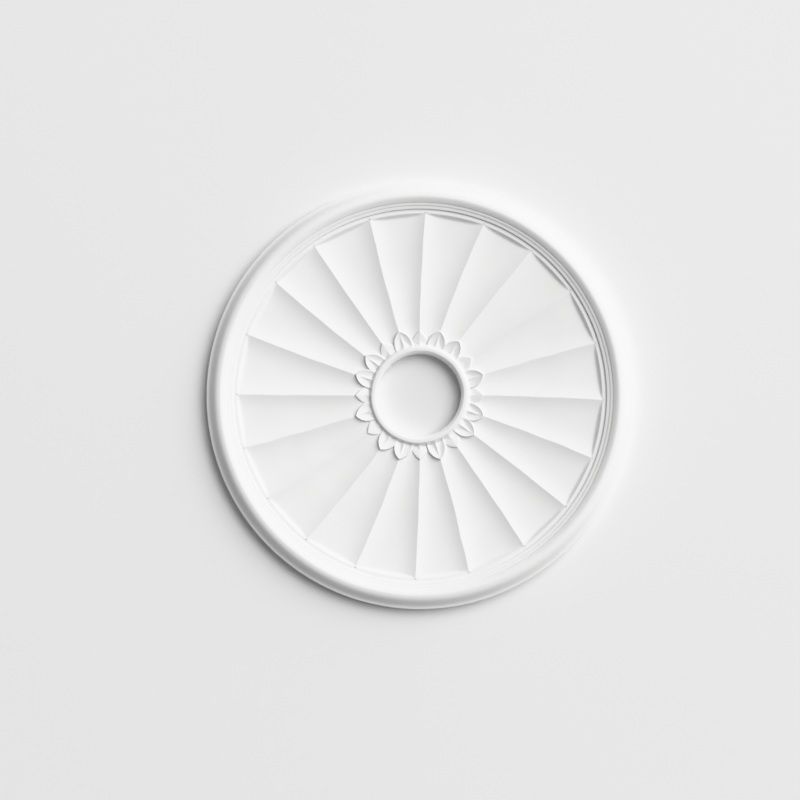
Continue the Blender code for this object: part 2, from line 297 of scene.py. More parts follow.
@dataclass(frozen=True)
class CentreRing:
    """The raised ring round the open centre hole, with a chamfer down into the bore."""

    bore_radius: float = 58.3 * MM
    bore_edge_height: float = 16.8 * MM
    chamfer_width: float = 2.9 * MM
    shoulder_height: float = 19.3 * MM
    round_width: float = 1.3 * MM
    top_width: float = 4.4 * MM
    height: float = 20.2 * MM
    wall_width: float = 3.2 * MM
    wall_hollow: float = 1.25
    wall_rows: int = 5
    wear: float = 0.35 * MM
    spacing: float = 0.9 * MM
    turning: float = 0.8 * MM
    wobble: float = 0.22 * MM
    wobble_waves: tuple[int, int] = (3, 14)
    wobble_seed: int = 7
    oval: float = 0.6 * MM
    oval_turn_deg: float = 45.0
    drift: float = 0.7 * MM
    drift_turn_deg: float = -45.0

    @property
    def top_inner_radius(self) -> float:
        """The inner edge of the flat top."""
        return self.bore_radius + self.chamfer_width + self.round_width

    @property
    def shoulder_radius(self) -> float:
        """The outer edge of the ring's top, where the wall starts."""
        return self.top_inner_radius + self.top_width + self.round_width

    @property
    def foot_radius(self) -> float:
        """The foot of the ring's outer wall, where the leaves start."""
        return self.shoulder_radius + self.wall_width

    def section(self) -> Section:
        """The profile from the bore's back edge up, over the top and out to the wall's edge.

        Returns:
            The worn profile with its points shared out.
        """
        bore_edge = (self.bore_radius, self.bore_edge_height)
        inner_shoulder = (self.bore_radius + self.chamfer_width, self.shoulder_height)
        top_inner = (self.top_inner_radius, self.height)
        top_outer = (self.top_inner_radius + self.top_width, self.height)
        shoulder = (self.shoulder_radius, self.shoulder_height)
        back_edge = (self.bore_radius, 0.0)
        corners = (back_edge, bore_edge, inner_shoulder, top_inner, top_outer, shoulder)
        run = Section(*np.array(corners).T)
        worn = run.softened(self.wear, PROFILE_STEP).resampled(self.spacing, self.turning)
        return Section(np.maximum(worn.radii, self.bore_radius), worn.heights)

    def unevenness(self, angles: Array) -> Array:
        """How far the hand-finished ring strays in radius: off centre, oval and in seeded waves.

        The drift is a wave once round and the oval a wave twice round. The seeded waves go round
        more often, and their sizes fall as the root of how often.

        Args:
            angles: Where round the ring.

        Returns:
            Lengths to add to the radius.
        """
        draw = np.random.default_rng(self.wobble_seed)
        waves = np.arange(self.wobble_waves[0], self.wobble_waves[1] + 1)
        sizes = draw.normal(size=len(waves)) / np.sqrt(waves)
        starts = draw.uniform(0.0, 2.0 * math.pi, len(waves))
        swings = np.sin(np.multiply.outer(waves, angles) + starts[:, None])
        oval = self.oval * np.cos(2.0 * (angles - math.radians(self.oval_turn_deg)))
        drift = self.drift * np.cos(angles - math.radians(self.drift_turn_deg))
        return drift + oval + self.wobble * np.tensordot(sizes, swings, axes=1)

    def wall(self, top: Array, foot: Array) -> list[Array]:
        """The loops down the outer wall, which is slightly hollow: steep above, spreading below.

        Each loop's share of the way out is its share of the drop to a power.

        Args:
            top: Points of the loop along the wall's upper edge.
            foot: Points of the loop along its foot.

        Returns:
            The loops between those two.
        """
        drop = np.arange(1, self.wall_rows) / self.wall_rows
        way_out = drop**self.wall_hollow
        return [top + (foot - top) * mix for mix in np.column_stack((way_out, drop, way_out))]


@dataclass(frozen=True)
class FluteFan:
    """The fan of scooped flutes, whose sharp ridges slant a little and waver along their length."""

    inner_radius: float
    outer_radius: float
    count: int = 20
    inner_height: float = 16.3 * MM
    dish: float = 3.6 * MM
    edge_slope_deg: float = 19.4
    inner_fullness: float = 2.0
    outer_fullness: float = 3.2
    end_slope_deg: float = 45.0
    end_width: float = 6.0 * MM
    end_bow: float = 0.4 * MM
    slant_deg: float = 1.7
    wander_deg: tuple[float, ...] = (
        0.1, 0.8, 0.0, -0.6, -0.3, -0.2, 0.3, -0.4, -0.4, 0.8,
        -0.3, 0.8, 0.5, 0.1, -0.4, -1.4, -0.2, 0.5, -0.9, 0.5,
    )
    ridge_round: float = 0.4 * MM
    end_round: float = 0.5 * MM
    end_round_most: float = 0.5
    foot_round: float = 1.2 * MM
    foot_round_most: float = 0.8
    waver: float = 0.2 * MM
    waver_turns: tuple[float, ...] = (1.3, 2.3, 3.3)
    waver_seed: int = 23

    @property
    def pitch(self) -> float:
        """The even angle between neighbouring ridges."""
        return 2.0 * math.pi / self.count

    @property
    def end_radius(self) -> float:
        """Where the ridges end in the fillet."""
        return self.outer_radius - self.end_width

    def way_out(self, radius: Array) -> Array:
        """The share of the way from the leaves' tips to the ridges' ends."""
        return np.clip((radius - self.inner_radius) / (self.end_radius - self.inner_radius), 0.0, 1.0)

    def ridge_height(self, radius: Array) -> Array:
        """The ridges' height: level at the leaves, rising as the square of the way out."""
        return self.inner_height + self.dish * self.way_out(radius) ** 2

    def wavering(self, sector: Array, radius: Array) -> Array:
        """How far each ridge strays sideways: seeded waves that die out at both of its ends.

        The waves are added up and shrunk by the root of half a wave along the whole ridge.

        Args:
            sector: Which ridge, counted clockwise from the top.
            radius: Where along it.

        Returns:
            Signed lengths across the ridge.
        """
        draw = np.random.default_rng(self.waver_seed)
        shape = (len(self.waver_turns), self.count)
        sizes = draw.normal(size=shape)[:, sector % self.count]
        starts = draw.uniform(0.0, 2.0 * math.pi, shape)[:, sector % self.count]
        way_out = self.way_out(radius)
        strays = np.zeros(np.broadcast(sector, radius).shape)
        for turns, size, start in zip(self.waver_turns, sizes, starts):
            strays = strays + size * np.sin(2.0 * math.pi * turns * way_out + start)
        return self.waver * strays * np.sqrt(np.sin(math.pi * way_out))

    def ridge_angle(self, sector: Array, radius: Array) -> Array:
        """The angle of a sector's ridge: even at the leaves, slanting off evenly to its end.

        Args:
            sector: Which ridge, counted clockwise from the top.
            radius: Where along it.

        Returns:
            Angles in radians.
        """
        lean = np.radians(self.slant_deg + np.array(self.wander_deg))[sector % self.count]
        steady = sector * self.pitch + lean * self.way_out(radius)
        return steady + self.wavering(sector, radius) / radius

    def wall_top(self, across: Array) -> Array:
        """The radius of the end wall's top, which bows in between two ridges' ends."""
        return self.end_radius - self.end_bow * (1.0 - across**2)

    def depth(self, radius: Array, half_chord: Array, across: Array) -> Array:
        """How far the floor lies below the ridges.

        One less the share across to the power of the fullness, which grows on the way out, so
        that the flutes leave their ridges at one slope but have flatter floors near the rim.

        Args:
            radius: Where along the flute.
            half_chord: Half the flute's width there.
            across: Share of the way from its middle to a ridge, from 0 to 1.

        Returns:
            Depths below the ridges.
        """
        growth = (self.outer_fullness - self.inner_fullness) * self.way_out(radius) ** 2
        fullness = self.inner_fullness + growth
        deepest = math.tan(math.radians(self.edge_slope_deg)) * half_chord / fullness
        return deepest * (1.0 - across**fullness)

    def height(self, radius: Array, angle: Array, sector: Array) -> Array:
        """The flutes' surface: scoops between rounded ridges, closed by a sloped end wall.

        The end wall's foot is a small hollow that tightens as the wall climbs, and its top is
        rounded over. Neither rounding is more than a share of the flute's depth.

        Args:
            radius: Distance of each point from the axis.
            angle: Angle of each point.
            sector: A ridge next to each point.

        Returns:
            Heights of the points.
        """
        flute = np.where(angle < self.ridge_angle(sector, radius), sector - 1, sector)
        left = self.ridge_angle(flute, radius)
        right = self.ridge_angle(flute + 1, radius)
        across = np.clip(2.0 * (angle - left) / (right - left) - 1.0, -1.0, 1.0)
        half_chord = radius * np.sin(0.5 * (right - left))
        from_ridge = half_chord * (1.0 - np.abs(across))
        rounded = np.sqrt(from_ridge**2 + self.ridge_round**2) - self.ridge_round
        depth = self.depth(radius, half_chord, np.clip(1.0 - rounded / half_chord, 0.0, 1.0))
        drop = (self.wall_top(across) - radius) * math.tan(math.radians(self.end_slope_deg))
        top_round = np.minimum(self.end_round, self.end_round_most * depth)
        wall = -smooth_max(drop, np.zeros_like(depth), top_round)
        down_wall = np.clip(drop / np.maximum(depth, TINY), 0.0, 1.0)
        foot_round = down_wall * np.minimum(self.foot_round, self.foot_round_most * depth)
        return self.ridge_height(radius) + smooth_max(-depth, wall, foot_round)

    def wall_foot(self, across: Array) -> Array:
        """The radius where a column runs off the flute's floor and up its end wall.

        Args:
            across: Each column's place across its flute, from -1 to 1.

        Returns:
            One radius for each column.
        """
        half_chord = self.end_radius * math.sin(0.5 * self.pitch)
        depth = self.depth(np.array(self.end_radius), half_chord, np.abs(across))
        return self.wall_top(across) - depth / math.tan(math.radians(self.end_slope_deg))


class LeafKind(Enum):
    """The two carvings of leaf in the collar."""

    TALL = "tall cupped leaf with a midrib"
    SHORT = "short plain leaf, roofed"


@dataclass(frozen=True)
class Leaf:
    """One leaf's outline and carving, measured from its base at the ring to its tip."""

    length: float
    half_width: float
    fullness: float
    tip_rise: float
    shoulder: float = 0.9
    tilt_deg: float = 10.0
    wall_width: float = 1.5 * MM
    wall_ease: float = 0.11
    cup_depth: float = 0.0
    cup_power: float = 3.0
    lip_rise: float = 0.0
    lip_width: float = 1.5 * MM
    edge_tip_share: float = 0.75
    edge_round: float = 0.35 * MM
    rib_rise: float = 0.0
    rib_half_width: float = 3.6 * MM
    rib_narrowest: float = 0.35
    rib_reach: float = 0.82
    rib_round: float = 0.35 * MM
    rib_foot_round: float = 0.12
    roof_drop: float = 0.0
    roof_round: float = 0.03
    roof_crest: float = 0.17
    roof_fade: float = 0.6

    def outline(self, reach: Array, margin: float) -> Array:
        """Half the width of the outline, grown by a margin: a full ogive.

        It stays near its base width and closes on the tip as one less the share of the length to
        the power of the fullness, all to the power of the shoulder.

        Args:
            reach: Distance from the ring's foot.
            margin: How far the outline is grown, to the sides and past the tip.

        Returns:
            Half widths, nothing past the tip.
        """
        share = np.clip(reach / (self.length + margin), 0.0, 1.0)
        return (self.half_width + margin) * (1.0 - share**self.fullness) ** self.shoulder

    def height(self, offset: Array, reach: Array, ground: Array,
               ridge: float) -> Array:
        """The leaf's surface, falling through its wall to the ground outside its outline.

        A plane tilted up towards the tip, less the cup, plus a lip along the outline and a rib
        whose section is a tent that narrows and sinks towards the tip, or less the roof's slope.

        Args:
            offset: Signed distance from the midrib.
            reach: Distance from the ring's foot.
            ground: Height of the flutes below.
            ridge: Height of the fan's ridges.

        Returns:
            Heights over the leaf, and the ground's height elsewhere.
        """
        side = np.abs(offset)
        edge = self.outline(reach, 0.0)
        foot = self.outline(reach, self.wall_width)
        share = np.clip(reach / self.length, 0.0, 1.0)
        across = np.clip(side / np.maximum(edge, TINY), 0.0, 1.0)
        top = ridge + self.tip_rise - (self.length - reach) * math.tan(math.radians(self.tilt_deg))
        to_tip = np.maximum(self.length - reach, 0.0)
        to_edge = np.minimum(np.maximum(edge - side, 0.0), self.edge_tip_share * to_tip)
        top = top - self.cup_depth * (1.0 - across**2) * (1.0 - share**self.cup_power)
        top = top + self.lip_rise * np.exp(-((to_edge - 0.5 * self.lip_width) / self.lip_width) ** 2)
        top = top - self.edge_round * np.exp(-to_edge / self.edge_round)
        fade = tent(share / self.rib_reach)
        narrowing = self.rib_narrowest + (1.0 - self.rib_narrowest) * fade
        crest = np.sqrt(side**2 + self.rib_round**2) / (self.rib_half_width * narrowing)
        top = top + self.rib_rise * fade * smooth_max(1.0 - crest, 0.0 * crest, self.rib_foot_round)
        slope = np.sqrt(across**2 + self.roof_round) - self.roof_crest
        top = top - self.roof_drop * slope * (1.0 - self.roof_fade * share)
        down_side = (side - edge) / np.maximum(foot - edge, TINY)
        down_tip = (reach - self.length) / self.wall_width
        down = eased(np.clip(np.maximum(down_side, down_tip), 0.0, 1.0), self.wall_ease)
        return np.where(down < 1.0, top * (1.0 - down) + ground * down, ground)


@dataclass(frozen=True)
class LeafCollar:
    """The collar of leaves, one on each ridge, the short ones tucked behind the tall ones."""

    foot_radius: float
    tall: Leaf = Leaf(
        length=22.6 * MM, half_width=12.4 * MM, fullness=3.0, tip_rise=3.6 * MM,
        cup_depth=1.9 * MM, lip_rise=0.35 * MM, rib_rise=3.0 * MM,
    )
    short: Leaf = Leaf(
        length=18.8 * MM, half_width=12.0 * MM, fullness=2.0, tip_rise=2.2 * MM, roof_drop=1.7 * MM
    )
    order: tuple[LeafKind, ...] = (
        LeafKind.SHORT, LeafKind.TALL, LeafKind.TALL, LeafKind.SHORT, LeafKind.TALL,
    )

    def is_tall(self, sector: Array) -> Array:
        """Whether each sector's leaf is a tall one."""
        tall = np.array([kind is LeafKind.TALL for kind in self.order])
        return tall[sector % len(self.order)]

    def each(self, sector: Array, measure: Callable[[Leaf], Array | float]) -> Array:
        """What a measure says of each sector's leaf."""
        return np.where(self.is_tall(sector), measure(self.tall), measure(self.short))

    def length(self, sector: Array) -> Array:
        """The length of each sector's leaf."""
        return self.each(sector, lambda leaf: leaf.length)

    def wall_width(self, sector: Array) -> Array:
        """How far each sector's leaf wall spreads out at its foot."""
        return self.each(sector, lambda leaf: leaf.wall_width)

    def outline(self, radius: Array, sector: Array, foot: bool) -> Array:
        """Half the width of each sector's leaf at a radius, at its edge or at its wall's foot."""
        reach = radius - self.foot_radius
        return self.each(sector, lambda leaf: leaf.outline(reach, leaf.wall_width * foot))

    def height(self, radius: Array, angle: Array, sector: Array,
               ground: Array, fan: FluteFan) -> Array:
        """The height of one sector's leaf, or the ground outside it.

        Args:
            radius: Distance of each point from the axis.
            angle: Angle of each point.
            sector: The leaf looked at from each point.
            ground: Height of the flutes at each point.
            fan: The fan whose ridges the leaves stand on.

        Returns:
            Heights of the points.
        """
        offset = radius * np.sin(angle - fan.ridge_angle(sector, radius))
        reach = radius - self.foot_radius
        ridge = fan.inner_height
        return self.each(sector, lambda leaf: leaf.height(offset, reach, ground, ridge))


@dataclass(frozen=True)
class Shading:
    """The nodes of one material or of the world."""

    tree: bpy.types.NodeTree

    def node(self, kind: str, inputs: dict, **settings: str) -> bpy.types.Node:
        """A new node with its inputs set or linked.

        Args:
            kind: The node's type, less its prefix.
            inputs: For each input's name or number, another node's output or a plain value.
            settings: Options of the node, made before its inputs.

        Returns:
            The node.
        """
        node = self.tree.nodes.new("ShaderNode" + kind)
        for name, value in settings.items():
            setattr(node, name, value)
        for name, value in inputs.items():
            if isinstance(value, Socket):
                self.tree.links.new(value, node.inputs[name])
            else:
                node.inputs[name].default_value = value
        return node

    def ranged(self, value: Socket, before: Pair, after: Pair) -> Socket:
        """A value moved evenly from one range to another, and held to the new one."""
        ends = dict(zip(("From Min", "From Max", "To Min", "To Max"), before + after))
        return self.node("MapRange", {"Value": value, **ends}).outputs["Result"]

    def blended(self, kind: str, first: Socket | float | tuple, second: Socket | float | tuple,
                share: Socket) -> Socket:
        """Two values (FLOAT) or two colours (RGBA) mixed by the second one's share."""
        inputs = {"A": first, "B": second, "Factor": share}
        return self.node("Mix", inputs, data_type=kind).outputs["Result"]

    def noise(self, places: Socket, scale: float, detail: float) -> Socket:
        """A noise from 0 to 1, at so many cells to the metre and with so many finer layers."""
        inputs = {"Vector": places, "Scale": scale, "Detail": detail}
        return self.node("TexNoise", inputs).outputs["Fac"]

    def bump(self, height: Socket, depth: float, **under: Socket) -> Socket:
        """The way a relief of this depth makes the surface face, on the Normal under it if any."""
        inputs = {"Strength": 1.0, "Distance": depth, "Height": height, **under}
        return self.node("Bump", inputs).outputs["Normal"]


@dataclass(frozen=True)
class PaintedPlaster:
    """Matt white paint on cast plaster, nearly even in tone, and a bare screeded back.

    The scales of its noises are in cells to the metre.
    """

    name: str = "painted_plaster"
    colour: tuple[float, float, float] = (0.855, 0.855, 0.85)
    darkest: float = 0.97
    roughness: float = 0.62
    roughness_swing: float = 0.08
    specular: float = 0.3
    cloud_scale: float = 14.0
    cloud_detail: float = 3.0
    cloud_range: Pair = (0.35, 0.65)
    brush_scale: float = 260.0
    brush_detail: float = 4.0
    brush_depth: float = 0.04 * MM
    grain_scale: float = 1500.0
    grain_detail: float = 2.0
    grain_depth: float = 0.02 * MM
    bare_colour: tuple[float, float, float] = (0.7, 0.69, 0.65)
    bare_roughness: float = 0.9
    bare_within: float = 0.2 * MM
    screed_scale: float = 55.0
    screed_detail: float = 6.0
    screed_depth: float = 0.5 * MM

    def material(self) -> bpy.types.Material:
        """The finish as a material: its colour, its roughness and the relief of its skin.

        Returns:
            The new material.
        """
        material = bpy.data.materials.new(self.name)
        material.use_nodes = True
        tree = material.node_tree
        shader = tree.nodes["Principled BSDF"]
        shader.inputs["Metallic"].default_value = 0.0
        shader.inputs["Specular IOR Level"].default_value = self.specular
        nodes = Shading(tree)
        places = nodes.node("TexCoord", {}).outputs["Object"]
        bare = self.bare(nodes, places)
        brush = nodes.noise(places, self.brush_scale, self.brush_detail)
        tree.links.new(self.colouring(nodes, places, bare), shader.inputs["Base Color"])
        tree.links.new(self.roughening(nodes, brush, bare), shader.inputs["Roughness"])
        tree.links.new(self.skin(nodes, places, brush, bare), shader.inputs["Normal"])
        return material

    def bare(self, nodes: Shading, places: Socket) -> Socket:
        """One on the flat back, where the plaster is bare, and nothing on the painted face."""
        depth = nodes.node("SeparateXYZ", {"Vector": places}).outputs["Y"]
        return nodes.ranged(depth, (-2.0 * self.bare_within, -self.bare_within), (0.0, 1.0))

    def colouring(self, nodes: Shading, places: Socket, bare: Socket) -> Socket:
        """The paint's or the bare plaster's colour, a little darker in wide soft clouds.

        Args:
            nodes: The material's nodes.
            places: The object's own coordinates.
            bare: The share of bare plaster.

        Returns:
            The colour.
        """
        coat = nodes.blended("RGBA", (*self.colour, 1.0), (*self.bare_colour, 1.0), bare)
        cloud = nodes.noise(places, self.cloud_scale, self.cloud_detail)
        tone = nodes.ranged(cloud, self.cloud_range, (self.darkest, 1.0))
        return nodes.blended("RGBA", (0.0, 0.0, 0.0, 1.0), coat, tone)

    def roughening(self, nodes: Shading, brush: Socket, bare: Socket) -> Socket:
        """The roughness, which swings with the brush marks and is higher on the bare back."""
        swing = (self.roughness - self.roughness_swing, self.roughness + self.roughness_swing)
        return nodes.blended("FLOAT", nodes.ranged(brush, (0.0, 1.0), swing), self.bare_roughness, bare)

    def skin(self, nodes: Shading, places: Socket, brush: Socket, bare: Socket) -> Socket:
        """The skin's relief: brush marks, fine grain and, on the back, the marks of the screed.

        Args:
            nodes: The material's nodes.
            places: The object's own coordinates.
            brush: The brush marks.
            bare: The share of bare plaster.

        Returns:
            The way the surface faces.
        """
        grain = nodes.noise(places, self.grain_scale, self.grain_detail)
        marks = nodes.noise(places, self.screed_scale, self.screed_detail)
        screed = nodes.node("Math", {0: marks, 1: bare}, operation="MULTIPLY").outputs["Value"]
        brushed = nodes.bump(brush, self.brush_depth)
        grained = nodes.bump(grain, self.grain_depth, Normal=brushed)
        return nodes.bump(screed, self.screed_depth, Normal=grained)


@dataclass
class CeilingRose:
    """The whole casting, as one closed mesh."""

    outer_radius: float
    leaf_shares: tuple[float, ...] = (0.0, 0.07, 0.15, 0.24, 0.34, 0.48, 0.62, 0.76, 0.88, 0.95, 1.0)
    wall_steps: int = 3
    flute_shares: tuple[float, ...] = (
        0.0, 0.006, 0.016, 0.035, 0.075, 0.14, 0.22, 0.32, 0.44,
        0.56, 0.68, 0.78, 0.86, 0.925, 0.965, 0.984, 0.994,
    )
    level_rows: int = 24
    level_samples: int = 400
    level_margin: float = 0.1 * MM
    meeting_samples: int = 201
    tip_rows: int = 18
    tip_wall_rows: int = 3
    fan_rows: int = 18
    end_rows: tuple[float, ...] = (
        -6.0 * MM, -3.5 * MM, -2.0 * MM, -1.2 * MM, -0.6 * MM,
        -0.2 * MM, 0.2 * MM, 0.6 * MM, 1.2 * MM, 2.0 * MM,
    )
    end_wall_shares: tuple[float, ...] = (0.45, 0.72, 0.88, 0.96, 1.0)
    fillet_shares: tuple[float, ...] = (0.1, 0.3, 0.6, 1.0)
    ring_skip: int = 2
    weld: float = 0.004 * MM
    crease_deg: float = 38.0
    rim: RimMoulding = field(init=False)
    ring: CentreRing = field(init=False)
    fan: FluteFan = field(init=False)
    collar: LeafCollar = field(init=False)
    sectors: Array = field(init=False)
    sector: Array = field(init=False)
    flute_share: Array = field(init=False)

    def __post_init__(self) -> None:
        """Fits the sub-assemblies to each other: ring, then leaves, then flutes, then rim."""
        self.rim = RimMoulding(self.outer_radius)
        self.ring = CentreRing()
        self.collar = LeafCollar(self.ring.foot_radius)
        leaf_tips = self.ring.foot_radius + self.collar.tall.length
        self.fan = FluteFan(inner_radius=leaf_tips, outer_radius=self.rim.fillet_radius)
        self.sectors = np.arange(self.fan.count)
        leaf_part = np.zeros(2 * (len(self.leaf_shares) - 1 + self.wall_steps))
        columns = np.concatenate((leaf_part, self.flute_shares))
        self.sector = np.repeat(self.sectors, len(columns))
        self.flute_share = np.tile(columns, self.fan.count)

    def face_height(self, radius: Array, angle: Array) -> Array:
        """The face between ring and rim: the highest of the ground and the leaves near it.

        Args:
            radius: Distance of each point of a loop from the axis.
            angle: Angle of each point.

        Returns:
            Heights of the points.
        """
        ground = height = self.fan.height(radius, angle, self.sector)
        for neighbour in (self.sector - 1, self.sector, self.sector + 1):
            leaf = self.collar.height(radius, angle, neighbour, ground, self.fan)
            height = np.maximum(height, leaf)
        return height

    def meeting_angles(self, radius: float, to_next: Array) -> Array:
        """How far each leaf reaches towards the next one before their surfaces meet.

        Two leaves of a kind meet half way. A short one runs under a tall one, up to where the
        tall one's wall comes down on it.

        Args:
            radius: The radius of a level row.
            to_next: Angle from each ridge to the next.

        Returns:
            One angle for each gap, measured from the first leaf's ridge.
        """
        share = np.linspace(0.0, 1.0, self.meeting_samples)
        radii = np.full(self.fan.count, radius)
        tall = self.collar.is_tall(self.sectors)
        tall_next = np.roll(tall, -1)
        over = np.where(tall, self.sectors, self.sectors + 1)
        edge = self.collar.outline(radii, over, False) / radius
        foot = self.collar.outline(radii, over, True) / radius
        down = edge[:, None] + np.outer(foot - edge, share)
        away = np.where(tall[:, None], down, to_next[:, None] - down)
        angle = self.fan.ridge_angle(self.sectors, radii)[:, None] + away
        radii = np.full(angle.shape, radius)
        sector = np.broadcast_to(self.sectors[:, None], angle.shape)
        ground = self.fan.height(radii, angle, sector)
        own = self.collar.height(radii, angle, sector, ground, self.fan)
        after = self.collar.height(radii, angle, sector + 1, ground, self.fan)
        above = np.where(tall[:, None], own - after, after - own) > 0.0
        met = edge + (foot - edge) * np.mean(above, axis=1)
        return np.where(tall == tall_next, 0.5 * to_next, np.where(tall, met, to_next - met))

    def leaf_row(self, radii: Array, level: bool) -> tuple[Array, Array]:
        """A row's radii and angles where it crosses the leaves.

        Args:
            radii: The row's radius on each leaf.
            level: Whether the row has one radius all round, so that neighbours may meet in it.

        Returns:
            Radii and angles of all its points, in order.
        """
        fan = self.fan
        ridge = fan.ridge_angle(self.sectors, radii)
        to_next = np.roll(ridge, -1) - ridge
        to_next[-1] += 2.0 * math.pi
        after = 0.5 * to_next
        if level:
            after = self.meeting_angles(radii[0], to_next)
        before = np.roll(to_next - after, 1)
        edge = self.collar.outline(radii, self.sectors, False) / radii
        foot = self.collar.outline(radii, self.sectors, True) / radii
        sides = []
        for limit, sign in ((before, -1.0), (after, 1.0)):
            near = np.minimum(edge, limit)
            far = np.minimum(foot, limit)
            inner = np.outer(near, self.leaf_shares)
            steps = np.arange(1, self.wall_steps + 1) / self.wall_steps
            outer = near[:, None] + np.outer(far - near, steps)
            sides.append(sign * np.hstack((inner, outer)))
        leaves = ridge[:, None] + np.hstack((sides[0][:, :0:-1], sides[1]))
        start = leaves[:, -1:]
        end = np.roll(leaves[:, :1], -1, axis=0)
        end[-1] += 2.0 * math.pi
        shares = np.array(self.flute_shares[1:])
        angles = np.hstack((leaves, start + (end - start) * shares))
        change = np.roll(radii, -1) - radii
        full = radii[:, None] + np.outer(change, self.flute_share[: angles.shape[1]])
        return full.ravel(), angles.ravel()

    def fan_row(self, radii: Array) -> tuple[Array, Array]:
        """A row's radii and angles on the fan, where a leaf's columns all run along its ridge."""
        left, right = (self.fan.ridge_angle(self.sector + step, radii) for step in (0, 1))
        return radii, left + (right - left) * self.flute_share

    def level_reach(self) -> float:
        """How far up from the ring any two leaves' feet still touch, and a little more.

        Returns:
            A length from the ring's foot.
        """
        reach = np.linspace(0.0, self.collar.short.length, self.level_samples)
        radius = self.ring.foot_radius + reach
        leaves = [np.full(len(radius), sector) for sector in self.sectors]
        feet = [self.collar.outline(radius, leaf, True) / radius for leaf in leaves]
        touching = np.zeros(len(radius), dtype=bool)
        for here, there in zip(feet, feet[1:] + feet[:1]):
            touching |= here + there > self.fan.pitch
        return float(np.max(reach[touching], initial=0.0)) + self.level_margin

    def face_rows(self) -> list[tuple[Array, Array]]:
        """The face's rows, from the ring's foot out to the rim's fillet.

        Level rows cross the leaves as far as their feet touch, then rows that bend with the
        leaves' tips, rows out along the flutes, and close rows over the end walls.

        Returns:
            Radii and angles of each row's points.
        """
        foot = self.ring.foot_radius
        lengths = self.collar.length(self.sectors)
        walls = self.collar.wall_width(self.sectors)
        level = self.level_reach()
        rows = []
        for share in np.linspace(0.0, 1.0, self.level_rows + 1):
            rows.append(self.leaf_row(np.full(self.fan.count, foot + share * level), True))
        for share in np.linspace(0.0, 1.0, self.tip_rows + 1)[1:]:
            rows.append(self.leaf_row(foot + level + share * (lengths - level), False))
        for share in np.arange(1, self.tip_wall_rows) / self.tip_wall_rows:
            rows.append(self.leaf_row(foot + lengths + share * walls, False))
        feet = (foot + lengths + walls)[self.sector]
        after = np.roll(foot + lengths + walls, -1)[self.sector]
        start = feet + (after - feet) * self.flute_share
        across = 2.0 * self.flute_share - 1.0
        wall = self.fan.wall_foot(across)
        sides = [wall + offset for offset in self.end_rows]
        for share in np.linspace(0.0, 1.0, self.fan_rows + 1)[:-1]:
            rows.append(self.fan_row(start + share * (sides[0] - start)))
        rows += [self.fan_row(radii) for radii in sides]
        top = self.fan.wall_top(across)
        for share in self.end_wall_shares:
            rows.append(self.fan_row(sides[-1] + share * (top - sides[-1])))
        for share in self.fillet_shares:
            rows.append(self.fan_row(top + share * (self.rim.fillet_radius - top)))
        return rows

    def loops(self) -> list[Array]:
        """Every loop of points: up the bore, over the ring, the face and the rim.

        The ring's loops have their points in groups that share a place, as it needs fewer.

        Returns:
            The loops in order.
        """
        rows = self.face_rows()
        face = [self.points(radii, angles, self.face_height(radii, angles)) for radii, angles in rows]
        kept = (np.arange(len(self.sector)) // self.ring_skip) * self.ring_skip
        ring_angles = rows[0][1][kept]
        section = self.ring.section()
        uneven = self.ring.unevenness(ring_angles)
        top = np.interp(section.heights, (0.0, self.ring.bore_edge_height), (0.0, 1.0))
        loops = [
            self.points(radius + share * uneven, ring_angles, height)
            for radius, height, share in zip(section.radii, section.heights, top)
        ]
        loops += self.ring.wall(loops[-1], face[0])
        loops += face
        rim = self.rim.section(self.fan.inner_height + self.fan.dish)
        loops += [
            self.points(radius, rows[-1][1], height)
            for radius, height in zip(rim.radii[1:], rim.heights[1:])
        ]
        return loops

    @staticmethod
    def points(radii: Array | float, angles: Array,
               heights: Array | float) -> Array:
        """Points at the given radii, angles and heights."""
        heights = np.broadcast_to(heights, angles.shape)
        return np.column_stack((radii * np.sin(angles), -heights, radii * np.cos(angles)))

    def mesh(self) -> bpy.types.Mesh:
        """The closed mesh: neighbouring loops joined by quads, the last to the first, and welded.

        Returns:
            The mesh, smooth but for its sharp edges.
        """
        loops = np.array(self.loops())
        rows, columns = loops.shape[:2]
        index = np.arange(rows * columns).reshape(rows, columns)
        there = np.roll(index, -1, axis=0)
        corners = (index, there, np.roll(there, -1, axis=1), np.roll(index, -1, axis=1))
        quads = np.stack(corners, axis=-1)
        mesh = bpy.data.meshes.new(NODE + "_carved")
        mesh.from_pydata(loops.reshape(-1, 3), [], quads.reshape(-1, 4))
        shell = bmesh.new()
        shell.from_mesh(mesh)
        bmesh.ops.remove_doubles(shell, verts=shell.verts, dist=self.weld)
        bmesh.ops.triangulate(shell, faces=shell.faces, quad_method="SHORT_EDGE")
        bmesh.ops.recalc_face_normals(shell, faces=shell.faces)
        shell.to_mesh(mesh)
        shell.free()
        mesh.shade_smooth()
        mesh.set_sharp_from_angle(angle=math.radians(self.crease_deg))
        return mesh

    def build(self, finish: PaintedPlaster) -> bpy.types.Object:
        """Makes the rose, paints it and puts it in the place of the plain casting.

        Args:
            finish: The paint.

        Returns:
            The rose.
        """
        rose = placed(NODE + "_carved", self.mesh())
        rose.data.materials.append(finish.material())
        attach(rose, BODY)
        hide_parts(NODE)
        return rose


